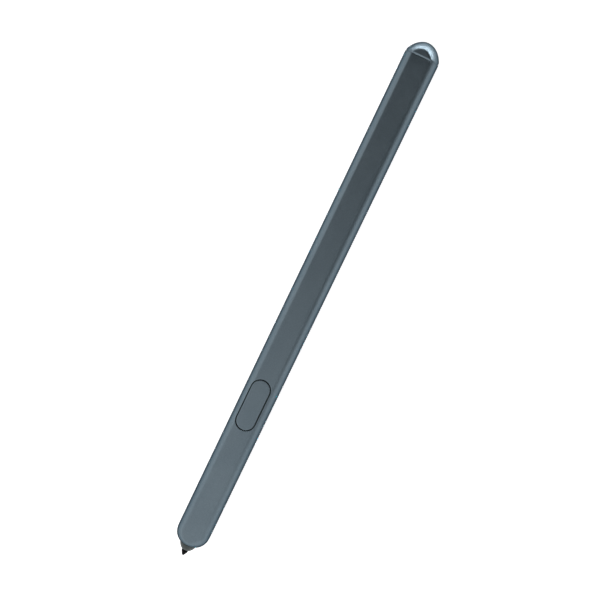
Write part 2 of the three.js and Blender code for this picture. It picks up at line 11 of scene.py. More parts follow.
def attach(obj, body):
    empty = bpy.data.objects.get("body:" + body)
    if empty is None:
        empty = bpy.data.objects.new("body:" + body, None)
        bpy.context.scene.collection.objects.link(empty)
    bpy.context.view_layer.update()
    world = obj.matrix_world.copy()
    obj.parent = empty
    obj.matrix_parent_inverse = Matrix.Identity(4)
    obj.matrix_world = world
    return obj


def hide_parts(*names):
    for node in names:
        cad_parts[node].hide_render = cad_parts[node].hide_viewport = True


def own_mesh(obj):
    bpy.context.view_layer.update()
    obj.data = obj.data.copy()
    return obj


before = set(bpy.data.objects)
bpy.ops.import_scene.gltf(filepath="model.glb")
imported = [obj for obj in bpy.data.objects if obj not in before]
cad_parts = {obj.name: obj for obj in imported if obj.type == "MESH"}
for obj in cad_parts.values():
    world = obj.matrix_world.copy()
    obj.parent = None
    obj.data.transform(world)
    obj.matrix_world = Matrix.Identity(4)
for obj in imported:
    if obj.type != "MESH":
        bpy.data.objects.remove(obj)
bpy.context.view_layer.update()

MM = 0.001

# ------------------------------------------------------------------ sizes, in millimetres
# Places along the pen are measured from the nib's point.

LENGTH = 145.0
HALF = LENGTH / 2
BODY_R = 4.45
FLAT = 3.65  # axis to the flat side
AXIS_Z = 4.4286  # the axis above the table
BLEND = 60  # how tightly the flat's edges turn: about 1 mm radius
WALL = 0.7
NOSE_DOME = 4.38
NOSE_FULLNESS = (2.17, 2.17)  # exponents along and out
CAP_DOME = 3.88
CAP_FULLNESS = (1.4, 2.0)
BARREL_FRONT = 3.9
NOSE_DOME_END = 7.42
SEAL_SEAT = (5.5, 7.22)
SEAL_SEAT_R = 2.95
PARTING = 141.12
PARTING_GAP = 0.06
EDGE = 0.05  # rounding of the moulded edges
CAP_CHAMFER = ((0.0, 0.16), (0.32, 0.02), (0.4, 0.0))  # along, below the surface
NOSE_HOLE = 2.45
FRONT_R = 2.77  # the barrel's front face
WINDOW = (38.09, 52.39)
WINDOW_W = 5.4
BUTTON_GAP = 0.26
BUTTON_RECESS = 0.05
BUTTON_FIT = 0.05  # how far the key reaches below the barrel's wall

LACQUER_EDGE = "#404040"  # the lacquer flake's dimmer colour at a glancing angle
FLOOR_GLOW = 0.7
TABLE_WIDTH = 3.0  # metres
WORLD_GLOW = 0.07

# A moulded edge's rounding, as shares of EDGE: away from the corner, below the surface.
ROUNDING = ((1.0, 0.0), (0.62, 0.08), (0.29, 0.29), (0.08, 0.62), (0.0, 1.0))

# The skin's columns from the flat's middle to the back, in degrees: finest where the flat turns.
TURN_START, TURN_END = 24.5, 48.5
COLUMNS = (
    [math.radians(step * 2.75) for step in range(9)]
    + [math.radians(TURN_START + step) for step in range(24)]
    + [math.radians(TURN_END + (step + 1) * (180 - TURN_END) / 32) for step in range(32)]
)
PATCH_COLUMN = 35  # the column beside the button, where its own patch begins
WINDOW_PAD = 1.0  # from the window's ends to the ends of its patch
PATCH_SHARES = (0.85, 0.7, 0.55, 0.42, 0.3, 0.2, 0.12)  # rows from the patch's rim to the window

CAP_FIT = 0.05  # between the cap's spigot and the bore
SPIGOT_TAPER = 0.02
SPIGOT_LENGTH = 4.5
SPIGOT_RIM = 1.2  # from the parting line to where the spigot is thinner by its taper
SPIGOT_FLOOR = 0.8  # from the parting line to the end of the spigot's bore
SPIGOT_BORE = 1.7


def section(angle, radius, flat=FLAT):
    """The body's outline round the axis: a circle with one softly edged flat."""
    lean = math.cos(angle)
    if lean <= 0.05:
        return radius
    return (radius**-BLEND + (flat / lean) ** -BLEND) ** (-1 / BLEND)


def dome_height(share, fullness):
    """A dome's radius, as a share of its widest, at a share of its length."""
    along, out = fullness
    return max(0.0, 1 - share**along) ** (1 / out)


def body_radius(s):
    """The barrel's round radius at a distance from the nib's point."""
    if s >= NOSE_DOME_END:
        return BODY_R
    return BODY_R * dome_height((NOSE_DOME_END - s) / NOSE_DOME, NOSE_FULLNESS)


def cap_radius(s):
    """The end cap's round radius at a distance from the nib's point."""
    return BODY_R * dome_height(min(1.0, max(0.0, (s - PARTING) / CAP_DOME)), CAP_FULLNESS)


def at(s, y, z):
    """A point of the pen, from its place along, across and above the axis in millimetres."""
    return Vector(((s - HALF) * MM, y * MM, (z + AXIS_Z) * MM))


def ring_point(s, angle, radius, flat=FLAT):
    """A point of the body's outline at an angle from the flat's middle."""
    r = section(angle, radius, flat)
    return at(s, r * math.sin(angle), r * math.cos(angle))


ANGLES = COLUMNS + [2 * math.pi - a for a in reversed(COLUMNS[1:-1])]


def ring(bm, s, radius, flat=FLAT):
    """A loop of vertices all round the body's outline."""
    return [bm.verts.new(ring_point(s, a, radius, flat)) for a in ANGLES]


def surface_height(y, radius=BODY_R):
    """How high the body's upper surface is above the axis at a distance to the side of it."""
    low, high = 0.0, math.radians(80)
    for _ in range(40):
        mid = (low + high) / 2
        if section(mid, radius) * math.sin(mid) < abs(y):
            low = mid
        else:
            high = mid
    return section(low, radius) * math.cos(low)


# ------------------------------------------------------------------ mesh helpers


def finish_mesh(bm, name, body, material, *replaced, smooth_angle=40):
    """Makes the object, gives it its material and body, and hides the CAD nodes it stands for."""
    bmesh.ops.remove_doubles(bm, verts=bm.verts, dist=1e-7)
    bmesh.ops.recalc_face_normals(bm, faces=bm.faces)
    mesh = bpy.data.meshes.new(name)
    bm.to_mesh(mesh)
    bm.free()
    mesh.materials.append(material)
    for polygon in mesh.polygons:
        polygon.use_smooth = True
    mesh.set_sharp_from_angle(angle=math.radians(smooth_angle))
    piece = bpy.data.objects.new(name, mesh)
    bpy.context.collection.objects.link(piece)
    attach(piece, body)
    if replaced:
        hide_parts(*replaced)
    return piece


def skin(bm, loops):
    """Faces between neighbouring loops of vertices; a loop may be one vertex repeated."""
    for first, second in zip(loops, loops[1:]):
        count = len(first)
        for i in range(count):
            j = (i + 1) % count
            corners = list(dict.fromkeys((first[i], first[j], second[j], second[i])))
            if len(corners) > 2:
                bm.faces.new(corners)


def lathe(bm, profile, sides=64):
    """A piece turned about the pen's axis, from (place along, radius) in millimetres."""
    loops = []
    for s, r in profile:
        if r < 1e-6:
            v = bm.verts.new(at(s, 0, 0))
            loops.append([v] * sides)
        else:
            turn = [2 * math.pi * i / sides for i in range(sides)]
            loops.append([bm.verts.new(at(s, r * math.sin(a), r * math.cos(a))) for a in turn])
    skin(bm, loops)


def rounded_corner(centre, radius, start, end, steps=4):
    """Points (along, out) of an arc, its angles in degrees from the +along direction."""
    points = []
    for i in range(steps + 1):
        a = math.radians(start + (end - start) * i / steps)
        points.append((centre[0] + radius * math.cos(a), centre[1] + radius * math.sin(a)))
    return points


# ------------------------------------------------------------------ materials


def linear(code):
    """An sRGB hex colour as linear RGBA."""
    parts = [int(code[i : i + 2], 16) / 255 for i in (1, 3, 5)]
    rgb = [c / 12.92 if c <= 0.04045 else ((c + 0.055) / 1.055) ** 2.4 for c in parts]
    return (*rgb, 1.0)


def add_node(tree, kind, links=None, values=None, stops=(), **properties):
    """Adds a node with its properties, the values and links of its inputs, and a ramp's stops."""
    node = tree.nodes.new(kind)
    for key, value in properties.items():
        setattr(node, key, value)
    for key, value in (values or {}).items():
        node.inputs[key].default_value = value
    for key, socket in (links or {}).items():
        tree.links.new(socket, node.inputs[key])
    if stops:
        elements = node.color_ramp.elements
        while len(elements) < len(stops):
            elements.new(0.5)
        for element, (position, colour) in zip(elements, stops):
            element.position = position
            element.color = colour
    return node


def new_material(name, metallic=0.0):
    """A material with one shader, and the place on the object that its patterns are laid out by."""
    material = bpy.data.materials.new(name)
    material.use_nodes = True
    tree = material.node_tree
    tree.nodes.clear()
    shader = tree.nodes.new("ShaderNodeBsdfPrincipled")
    out = tree.nodes.new("ShaderNodeOutputMaterial")
    tree.links.new(shader.outputs["BSDF"], out.inputs["Surface"])
    shader.inputs["Metallic"].default_value = metallic
    place = tree.nodes.new("ShaderNodeTexCoord").outputs["Object"]
    return material, tree, shader, place


def per_mm(spacing):
    """The scale of a pattern whose cells are this many millimetres apart."""
    return 1 / (spacing * MM)


def dress(tree, shader, colour, fine, roughness, relief, strength=0.3):
    """Joins the colour; one fine texture varies the roughness and raises the relief, in mm."""
    tree.links.new(colour, shader.inputs["Base Color"])
    span = {"From Min": 0.3, "From Max": 0.7, "To Min": roughness[0], "To Max": roughness[1]}
    rough = add_node(tree, "ShaderNodeMapRange", {"Value": fine}, span)
    tree.links.new(rough.outputs["Result"], shader.inputs["Roughness"])
    height = {"Strength": strength, "Distance": relief * MM}
    bump = add_node(tree, "ShaderNodeBump", {"Height": fine}, height)
    tree.links.new(bump.outputs["Normal"], shader.inputs["Normal"])
    return bump


def mottled(tree, place, spacing, darker, lighter, detail=3.0):
    """A colour that drifts between two tones over a distance in millimetres."""
    drift = add_node(
        tree, "ShaderNodeTexNoise", {"Vector": place}, {"Scale": per_mm(spacing), "Detail": detail}
    )
    tones = [(0.32, linear(darker)), (0.68, linear(lighter))]
    return add_node(tree, "ShaderNodeValToRGB", {"Fac": drift.outputs["Fac"]}, stops=tones)


def satin_metallic_lacquer():
    """Metallic lacquer sprayed over moulded polycarbonate: fine aluminium flake under a satin
    finish. It gives the eye a soft grey-blue sheen with broad, blurred highlights. The flake is
    drawn about four times its real size, so that it shows at all."""
    material, tree, shader, place = new_material("satin_metallic_lacquer", metallic=1.0)
    flake = add_node(tree, "ShaderNodeTexVoronoi", {"Vector": place}, {"Scale": per_mm(0.09)})
    tones = [(0.0, linear("#66737B")), (0.5, linear("#6B7880")), (1.0, linear("#727F87"))]
    tone = add_node(tree, "ShaderNodeValToRGB", {"Fac": flake.outputs["Color"]}, stops=tones)
    cloud = mottled(tree, place, 9, "#F7F8F9", "#FFFFFF")
    mixed = add_node(
        tree,
        "ShaderNodeMix",
        {6: tone.outputs["Color"], 7: cloud.outputs["Color"]},
        {0: 1.0},
        data_type="RGBA",
        blend_type="MULTIPLY",
    )
    peel = add_node(
        tree, "ShaderNodeTexNoise", {"Vector": place}, {"Scale": per_mm(0.7), "Detail": 2.0}
    )
    relief = dress(tree, shader, mixed.outputs[2], peel.outputs["Fac"], (0.35, 0.4), 0.02, 0.05)
    grain = add_node(
        tree,
        "ShaderNodeBump",
        {"Height": flake.outputs["Distance"], "Normal": relief.outputs["Normal"]},
        {"Strength": 0.06, "Distance": 0.01 * MM},
    )
    tree.links.new(grain.outputs["Normal"], shader.inputs["Normal"])
    shader.inputs["Specular Tint"].default_value = linear(LACQUER_EDGE)
    return material


def moulded_acetal():
    """Injection-moulded acetal, spark-eroded mould: a dark green-grey, waxy satin surface with a
    very fine grain."""
    material, tree, shader, place = new_material("moulded_acetal")
    tone = mottled(tree, place, 1.6, "#2E3635", "#384140")
    grain = add_node(
        tree, "ShaderNodeTexNoise", {"Vector": place}, {"Scale": per_mm(0.12), "Detail": 4.0}
    )
    dress(tree, shader, tone.outputs["Color"], grain.outputs["Fac"], (0.42, 0.55), 0.01)
    shader.inputs["IOR"].default_value = 1.48
    shader.inputs["Specular IOR Level"].default_value = 0.35
    return material


def nib_polymer():
    """Moulded polyacetal filled with carbon: near-black and smooth, with fine rings left by the
    turned mould."""
    material, tree, shader, place = new_material("nib_polymer")
    tone = mottled(tree, place, 0.8, "#07080A", "#0E0F11")
    rings = add_node(
        tree,
        "ShaderNodeTexWave",
        {"Vector": place},
        {"Scale": per_mm(0.4) * math.pi / 10, "Distortion": 2.0, "Detail": 2.0},
        bands_direction="X",
    )
    dress(tree, shader, tone.outputs["Color"], rings.outputs["Fac"], (0.34, 0.48), 0.004)
    shader.inputs["IOR"].default_value = 1.48
    shader.inputs["Specular IOR Level"].default_value = 0.04
    return material


def moulded_silicone(name, darker, lighter):
    """Compression-moulded silicone rubber: matt, slightly powdery, soft-looking, with a faint
    orange peel from the mould."""
    material, tree, shader, place = new_material(name)
    tone = mottled(tree, place, 1.2, darker, lighter)
    peel = add_node(
        tree, "ShaderNodeTexNoise", {"Vector": place}, {"Scale": per_mm(0.18), "Detail": 5.0}
    )
    dress(tree, shader, tone.outputs["Color"], peel.outputs["Fac"], (0.68, 0.82), 0.015, 0.4)
    shader.inputs["IOR"].default_value = 1.41
    shader.inputs["Sheen Weight"].default_value = 0.08
    return material


def ground_ferrite():
    """Sintered ferrite, ground to size: charcoal grey with a painted sparkle of paler grains, tiny
    open pores and fine lines left by the grinding wheel."""
    material, tree, shader, place = new_material("ground_ferrite")
    crystal = add_node(tree, "ShaderNodeTexVoronoi", {"Vector": place}, {"Scale": per_mm(0.08)})
    # Painted glints: the palest stop lightens a few grains to stand in for the ferrite's sparkle.
    tones = [(0.0, linear("#2B2A2A")), (0.8, linear("#3A3838")), (1.0, linear("#575452"))]
    tone = add_node(tree, "ShaderNodeValToRGB", {"Fac": crystal.outputs["Color"]}, stops=tones)
    dress(tree, shader, tone.outputs["Color"], crystal.outputs["Distance"], (0.3, 0.5), 0.006)
    shader.inputs["IOR"].default_value = 2.2
    return material


def wound_copper_wire():
    """Enamelled copper wire wound side by side: warm red-brown turns 0.14 mm apart, each with its
    own highlight, under a clear varnish."""
    material, tree, shader, place = new_material("wound_copper_wire", metallic=1.0)
    tone = mottled(tree, place, 0.9, "#A8592F", "#C77A46")
    # At a scale of 1 the wave texture's bands are pi / 10 apart.
    turns = add_node(
        tree,
        "ShaderNodeTexWave",
        {"Vector": place},
        {"Scale": per_mm(0.14) * math.pi / 10, "Distortion": 0.15},
        bands_direction="X",
    )
    dress(tree, shader, tone.outputs["Color"], turns.outputs["Fac"], (0.24, 0.38), 0.05, 0.8)
    shader.inputs["Coat Weight"].default_value = 0.4
    shader.inputs["Coat Roughness"].default_value = 0.15
    return material


def rolled_copper():
    """Drawn and rolled copper: pink-orange metal with long fine die lines and slightly browned
    patches where it has been handled."""
    material, tree, shader, place = new_material("rolled_copper", metallic=1.0)
    tone = mottled(tree, place, 2.5, "#A9633F", "#C98A62")
    stretched = add_node(
        tree, "ShaderNodeMapping", {"Vector": place}, {"Scale": (0.06, 1.0, 1.0)}
    )
    lines = add_node(
        tree,
        "ShaderNodeTexNoise",
        {"Vector": stretched.outputs["Vector"]},
        {"Scale": per_mm(0.06), "Detail": 3.0},
    )
    dress(tree, shader, tone.outputs["Color"], lines.outputs["Fac"], (0.22, 0.4), 0.003)
    return material


def wrapped_polyimide_film():
    """Polyimide film wound on in an overlapping spiral: glossy amber, darker where two layers lie
    on each other, with low steps at the laps 2.5 mm apart."""
    material, tree, shader, place = new_material("wrapped_polyimide_film")
    laps = add_node(
        tree,
        "ShaderNodeTexWave",
        {"Vector": place},
        {"Scale": per_mm(2.5) * math.pi / 10, "Distortion": 0.4},
        bands_direction="X",
        wave_profile="SAW",
    )
    tones = [(0.0, linear("#A86A14")), (0.35, linear("#C98A24")), (1.0, linear("#D89B35"))]
    tone = add_node(tree, "ShaderNodeValToRGB", {"Fac": laps.outputs["Fac"]}, stops=tones)
    dress(tree, shader, tone.outputs["Color"], laps.outputs["Fac"], (0.16, 0.26), 0.02)
    shader.inputs["IOR"].default_value = 1.7
    shader.inputs["Coat Weight"].default_value = 0.3
    return material


def glass_filled_nylon():
    """Injection-moulded nylon with short glass fibre: charcoal, matt, with pale flecks of fibre
    0.3 mm long drawn out along the flow."""
    material, tree, shader, place = new_material("glass_filled_nylon")
    flow = add_node(tree, "ShaderNodeMapping", {"Vector": place}, {"Scale": (0.3, 1.0, 1.0)})
    fibre = add_node(
        tree,
        "ShaderNodeTexNoise",
        {"Vector": flow.outputs["Vector"]},
        {"Scale": per_mm(0.1), "Detail": 4.0},
    )
    tones = [(0.3, linear("#232529")), (0.62, linear("#2E3035")), (0.75, linear("#43464C"))]
    tone = add_node(tree, "ShaderNodeValToRGB", {"Fac": fibre.outputs["Fac"]}, stops=tones)
    dress(tree, shader, tone.outputs["Color"], fibre.outputs["Fac"], (0.52, 0.7), 0.02)
    shader.inputs["IOR"].default_value = 1.53
    return material


def drawn_spring_wire():
    """Hard-drawn stainless spring wire: bright grey metal with fine scratches along the wire."""
    material, tree, shader, place = new_material("drawn_spring_wire", metallic=1.0)
    tone = mottled(tree, place, 0.5, "#A9ADB2", "#C6C9CD")
    scratch = add_node(
        tree, "ShaderNodeTexNoise", {"Vector": place}, {"Scale": per_mm(0.04), "Detail": 2.0}
    )
    dress(tree, shader, tone.outputs["Color"], scratch.outputs["Fac"], (0.18, 0.3), 0.002)
    return material


def pressed_steel_sheet():
    """Stainless sheet, rolled and stamped: cool grey metal with rolling lines 0.05 mm apart along
    the strip and a dull bloom from the press."""
    material, tree, shader, place = new_material("pressed_steel_sheet", metallic=1.0)
    tone = mottled(tree, place, 1.1, "#AEB2B6", "#C4C7CB")
    rolled = add_node(tree, "ShaderNodeMapping", {"Vector": place}, {"Scale": (0.08, 1.0, 1.0)})
    lines = add_node(
        tree,
        "ShaderNodeTexNoise",
        {"Vector": rolled.outputs["Vector"]},
        {"Scale": per_mm(0.05), "Detail": 3.0},
    )
    dress(tree, shader, tone.outputs["Color"], lines.outputs["Fac"], (0.24, 0.42), 0.003)
    return material


def pressed_alumina():
    """Dry-pressed and fired alumina: ivory white, faintly chalky, with a fine sugar-like grain."""
    material, tree, shader, place = new_material("pressed_alumina")
    tone = mottled(tree, place, 0.6, "#DFDACB", "#EDE9DD")
    grain = add_node(tree, "ShaderNodeTexVoronoi", {"Vector": place}, {"Scale": per_mm(0.07)})
    dress(tree, shader, tone.outputs["Color"], grain.outputs["Distance"], (0.4, 0.55), 0.004)
    shader.inputs["IOR"].default_value = 1.76
    return material


def solder_masked_laminate():
    """Epoxy and glass laminate under a screened solder mask: deep green, glossy, with the copper
    tracks showing as slightly raised paler lines and the glass weave, 0.5 mm, just visible."""
    material, tree, shader, place = new_material("solder_masked_laminate")
    track = add_node(
        tree,
        "ShaderNodeTexBrick",
        {"Vector": place},
        {
            "Color1": linear("#12442F"),
            "Color2": linear("#174F38"),
            "Mortar": linear("#1F6447"),
            "Scale": per_mm(1.0),
            "Mortar Size": 0.07,
            "Brick Width": 3.2,
            "Row Height": 0.55,
        },
    )
    weave = add_node(
        tree, "ShaderNodeTexNoise", {"Vector": place}, {"Scale": per_mm(0.5), "Detail": 1.0}
    )
    dress(tree, shader, track.outputs["Color"], weave.outputs["Fac"], (0.26, 0.36), 0.01)
    raised = add_node(
        tree,
        "ShaderNodeBump",
        {"Height": track.outputs["Fac"]},
        {"Strength": 0.5, "Distance": 0.03 * MM},
    )
    tree.links.new(raised.outputs["Normal"], shader.inputs["Normal"])
    shader.inputs["IOR"].default_value = 1.55
    return material


def moulded_epoxy():
    """Transfer-moulded epoxy with silica filler: black-grey, dead matt, with a fine even grain."""
    material, tree, shader, place = new_material("moulded_epoxy")
    tone = mottled(tree, place, 0.5, "#17191B", "#202326")
    grain = add_node(
        tree, "ShaderNodeTexNoise", {"Vector": place}, {"Scale": per_mm(0.05), "Detail": 4.0}
    )
    dress(tree, shader, tone.outputs["Color"], grain.outputs["Fac"], (0.55, 0.72), 0.006, 0.5)
    shader.inputs["IOR"].default_value = 1.55
    return material


def fired_capacitor():
    """Fired barium titanate with tinned ends: a biscuit-brown body between two rough, bright
    solder-coated caps that each cover a fifth of the length."""
    material, tree, shader, place = new_material("fired_capacitor")
    own = add_node(tree, "ShaderNodeTexCoord")
    along = add_node(tree, "ShaderNodeSeparateXYZ", {"Vector": own.outputs["Generated"]})
    body = linear("#9A7B55")
    tin = linear("#B9BBBD")
    bands = [(0.0, tin), (0.2, body), (0.8, tin)]
    tone = add_node(tree, "ShaderNodeValToRGB", {"Fac": along.outputs["X"]}, stops=bands)
    tone.color_ramp.interpolation = "CONSTANT"
    coated = [(0.0, (1, 1, 1, 1)), (0.2, (0, 0, 0, 1)), (0.8, (1, 1, 1, 1))]
    metal = add_node(tree, "ShaderNodeValToRGB", {"Fac": along.outputs["X"]}, stops=coated)
    metal.color_ramp.interpolation = "CONSTANT"
    tree.links.new(metal.outputs["Color"], shader.inputs["Metallic"])
    grain = add_node(
        tree, "ShaderNodeTexNoise", {"Vector": place}, {"Scale": per_mm(0.06), "Detail": 4.0}
    )
    dress(tree, shader, tone.outputs["Color"], grain.outputs["Fac"], (0.35, 0.5), 0.006)
    return material


def nickel_plated_magnet():
    """Sintered neodymium, barrel-plated with nickel: bright warm-grey metal, softly dimpled, with
    small tumbling marks."""
    material, tree, shader, place = new_material("nickel_plated_magnet", metallic=1.0)
    tone = mottled(tree, place, 1.4, "#B3AFA8", "#C9C6C0")
    dimple = add_node(
        tree, "ShaderNodeTexNoise", {"Vector": place}, {"Scale": per_mm(0.25), "Detail": 3.0}
    )
    dress(tree, shader, tone.outputs["Color"], dimple.outputs["Fac"], (0.14, 0.26), 0.008)
    return material


def drawn_cell_can():
    """Deep-drawn aluminium can: pale grey metal with fine rings round it from the drawing die."""
    material, tree, shader, place = new_material("drawn_cell_can", metallic=1.0)
    tone = mottled(tree, place, 3, "#A2A6AB", "#B6BABE")
    rings = add_node(
        tree,
        "ShaderNodeTexWave",
        {"Vector": place},
        {"Scale": per_mm(0.3) * math.pi / 10, "Distortion": 1.5, "Detail": 3.0},
        bands_direction="X",
    )
    dress(tree, shader, tone.outputs["Color"], rings.outputs["Fac"], (0.26, 0.42), 0.004)
    return material


def open_cell_foam():
    """Die-cut polyurethane foam: near-black and spongy, with open cells 0.25 mm across, each
    painted darker towards its hollow middle as shade."""
    material, tree, shader, place = new_material("open_cell_foam")
    cell = add_node(tree, "ShaderNodeTexVoronoi", {"Vector": place}, {"Scale": per_mm(0.25)})
    # Painted shade: each cell is darker towards its middle, where the bump makes its pit.
    tones = [(0.1, linear("#0E0F11")), (0.5, linear("#26282B"))]
    tone = add_node(tree, "ShaderNodeValToRGB", {"Fac": cell.outputs["Distance"]}, stops=tones)
    dress(tree, shader, tone.outputs["Color"], cell.outputs["Distance"], (0.8, 0.95), 0.1, 1.0)
    return material


def opal_acrylic():
    """A sheet of opal acrylic lit from below, as on a light table: an even white, with a fine satin
    texture."""
    material, tree, shader, place = new_material("opal_acrylic")
    tone = mottled(tree, place, 60, "#F4F5F5", "#F8F8F8")
    satin = add_node(
        tree, "ShaderNodeTexNoise", {"Vector": place}, {"Scale": per_mm(2), "Detail": 3.0}
    )
    dress(tree, shader, tone.outputs["Color"], satin.outputs["Fac"], (0.5, 0.6), 0.005)
    shader.inputs["Emission Color"].default_value = linear("#FFFFFF")
    shader.inputs["Emission Strength"].default_value = FLOOR_GLOW
    return material


lacquer = satin_metallic_lacquer()
acetal = moulded_acetal()
nib_black = nib_polymer()
grey_silicone = moulded_silicone("grey_moulded_silicone", "#34373A", "#404447")
carbon_silicone = moulded_silicone("carbon_loaded_silicone", "#141416", "#1E1E20")
copper = rolled_copper()
nylon = glass_filled_nylon()
spring_wire = drawn_spring_wire()
steel_sheet = pressed_steel_sheet()
epoxy = moulded_epoxy()
magnet_plating = nickel_plated_magnet()

INSIDE = {
    "cap_seal": grey_silicone,
    "nose_seal": grey_silicone,
    "coil_buffer": grey_silicone,
    "cell_bung": grey_silicone,
    "conductive_rubber": carbon_silicone,
    "ferrite_core": ground_ferrite(),
    "coil_winding": wound_copper_wire(),
    "coil_sleeve": wrapped_polyimide_film(),
    "coil_lead_left": copper,
    "coil_lead_right": copper,
    "antenna_strip": copper,
    "nib_holder": acetal,
    "switch_plunger": acetal,
    "pressure_spring": spring_wire,
    "cell_lead_left": steel_sheet,
    "cell_lead_right": steel_sheet,
    "sensor_terminal": steel_sheet,
    "switch_dome": steel_sheet,
    "switch_cover": steel_sheet,
    "timing_crystal": steel_sheet,
    "dielectric_disc": pressed_alumina(),
    "sensor_housing": nylon,
    "sensor_plug": nylon,
    "lower_carrier": nylon,
    "upper_carrier": nylon,
    "circuit_board": solder_masked_laminate(),
    "switch_base": epoxy,
    "radio_chip": epoxy,
    "power_chip": epoxy,
    "motion_chip": epoxy,
    "front_magnet": magnet_plating,
    "rear_magnet": magnet_plating,
    "storage_cell": drawn_cell_can(),
    "rear_damper": open_cell_foam(),
}
capacitor_body = fired_capacitor()
for number in (1, 2, 3, 4):
    INSIDE[f"tuning_capacitor_{number}"] = capacitor_body
for node, finish in INSIDE.items():
    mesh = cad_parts[node].data
    mesh.materials.clear()
    mesh.materials.append(finish)

# ------------------------------------------------------------------ barrel


def window_side(s, y):
    """The way out of the window towards a point, and the window's edge on that way."""
    radius = WINDOW_W / 2
    middle = min(max(s, WINDOW[0] + radius), WINDOW[1] - radius)
    out = Vector((s - middle, y)).normalized()
    return out, (middle + radius * out.x, radius * out.y)


def outer_point(s, y, drop=0.0):
    """A point of the body's upper surface, or below it."""
    return at(s, y, surface_height(y) - drop)


def patch_rim(loops, first, last):
    """The vertices round the window's patch, where it meets the skin's loops."""
    count = len(ANGLES)
    left, right = PATCH_COLUMN, count - PATCH_COLUMN
    rim = [loops[i][left] for i in range(first, last)]
    rim += [loops[last][j % count] for j in range(left, right - count, -1)]
    rim += [loops[i][right] for i in range(last, first, -1)]
    rim += [loops[first][j % count] for j in range(right - count, left)]
    return rim


def barrel_stations():
    """The places of the barrel's loops along it, and the two ends of the window's patch."""
    front = BARREL_FRONT + EDGE
    swing = math.asin((NOSE_DOME_END - front) / NOSE_DOME)
    dome_steps, patch_steps, rear_steps = 28, 48, 34
    turns = [swing * (1 - i / dome_steps) for i in range(dome_steps + 1)]
    x0, x1 = WINDOW[0] - WINDOW_PAD, WINDOW[1] + WINDOW_PAD
    stations = [NOSE_DOME_END - NOSE_DOME * math.sin(turn) for turn in turns]
    stations += [NOSE_DOME_END + 2.0 + i * 2.75 for i in range(10)]
    stations += [x0 + (x1 - x0) * i / patch_steps for i in range(patch_steps + 1)]
    rear = PARTING - EDGE
    stations += [x1 + (rear - x1) * i / rear_steps for i in range(1, rear_steps + 1)]
    return stations, x0, x1


def barrel_shell():
    """The drawn tube: outer skin with the button's window, rounded edges and the bore inside."""
    bm = bmesh.new()
    stations, x0, x1 = barrel_stations()
    loops = [ring(bm, s, body_radius(s)) for s in stations]
    first, last = stations.index(x0), stations.index(x1)
    count = len(ANGLES)
    left, right = PATCH_COLUMN, count - PATCH_COLUMN
    for i in range(len(loops) - 1):
        for j in range(count):
            in_patch = first <= i < last and (j < left or j >= right)
            if not in_patch:
                k = (j + 1) % count
                bm.faces.new((loops[i][j], loops[i][k], loops[i + 1][k], loops[i + 1][j]))

    # The patch runs from the skin's rectangle in to the window's rounded edge and down its wall.
    rim = patch_rim(loops, first, last)
    rows = [[] for _ in PATCH_SHARES]
    lips = [[] for _ in ROUNDING]
    wall_foot = []
    for v in rim:
        s, y = v.co.x / MM + HALF, v.co.y / MM
        out, edge = window_side(s, y)
        start = (edge[0] + out.x * EDGE, edge[1] + out.y * EDGE)
        for row, share in zip(rows, PATCH_SHARES):
            p = (start[0] + (s - start[0]) * share, start[1] + (y - start[1]) * share)
            row.append(bm.verts.new(outer_point(*p)))
        for row, (away, drop) in zip(lips, ROUNDING):
            p = (edge[0] + out.x * away * EDGE, edge[1] + out.y * away * EDGE)
            row.append(bm.verts.new(outer_point(*p, drop * EDGE)))
        foot = min(surface_height(edge[1]), FLAT) - WALL
        wall_foot.append(bm.verts.new(at(*edge, foot)))
    skin(bm, [rim] + rows + lips + [wall_foot])

    # Rear edge, front edge and the bore.
    bore_r, bore_flat = BODY_R - WALL, FLAT - WALL
    edges = []
    for degrees in (15, 30, 45, 60, 75, 90):
        turn = math.radians(degrees)
        lower = EDGE * (1 - math.cos(turn))
        s = PARTING - EDGE + EDGE * math.sin(turn)
        edges.append(ring(bm, s, BODY_R - lower, FLAT - lower))
    bore_rear = ring(bm, PARTING, bore_r, bore_flat)
    skin(bm, [loops[-1]] + edges + [bore_rear])
    bore_front = ring(bm, SEAL_SEAT[1], bore_r, bore_flat)
    front = [
        (BARREL_FRONT, FRONT_R - EDGE),
        (BARREL_FRONT, NOSE_HOLE + EDGE),
        (BARREL_FRONT + EDGE, NOSE_HOLE),
        (SEAL_SEAT[0], NOSE_HOLE),
        (SEAL_SEAT[0], SEAL_SEAT_R),
        (SEAL_SEAT[1], SEAL_SEAT_R),
    ]
    skin(bm, [loops[0]] + [ring(bm, s, r) for s, r in front] + [bore_front])

    # The bore's skin, cut round the window in the same way.
    inner = [ring(bm, stations[i], bore_r, bore_flat) for i in range(first, last + 1)]
    skin(bm, [bore_front, inner[0]])
    skin(bm, [inner[-1], bore_rear])
    for near, far in zip(inner, inner[1:]):
        for j in range(left, right):
            bm.faces.new((near[j], near[j + 1], far[j + 1], far[j]))
    skin(bm, [wall_foot, patch_rim(inner, 0, last - first)])
    return finish_mesh(bm, "barrel_tube", "pen_body", lacquer, "barrel", smooth_angle=50)


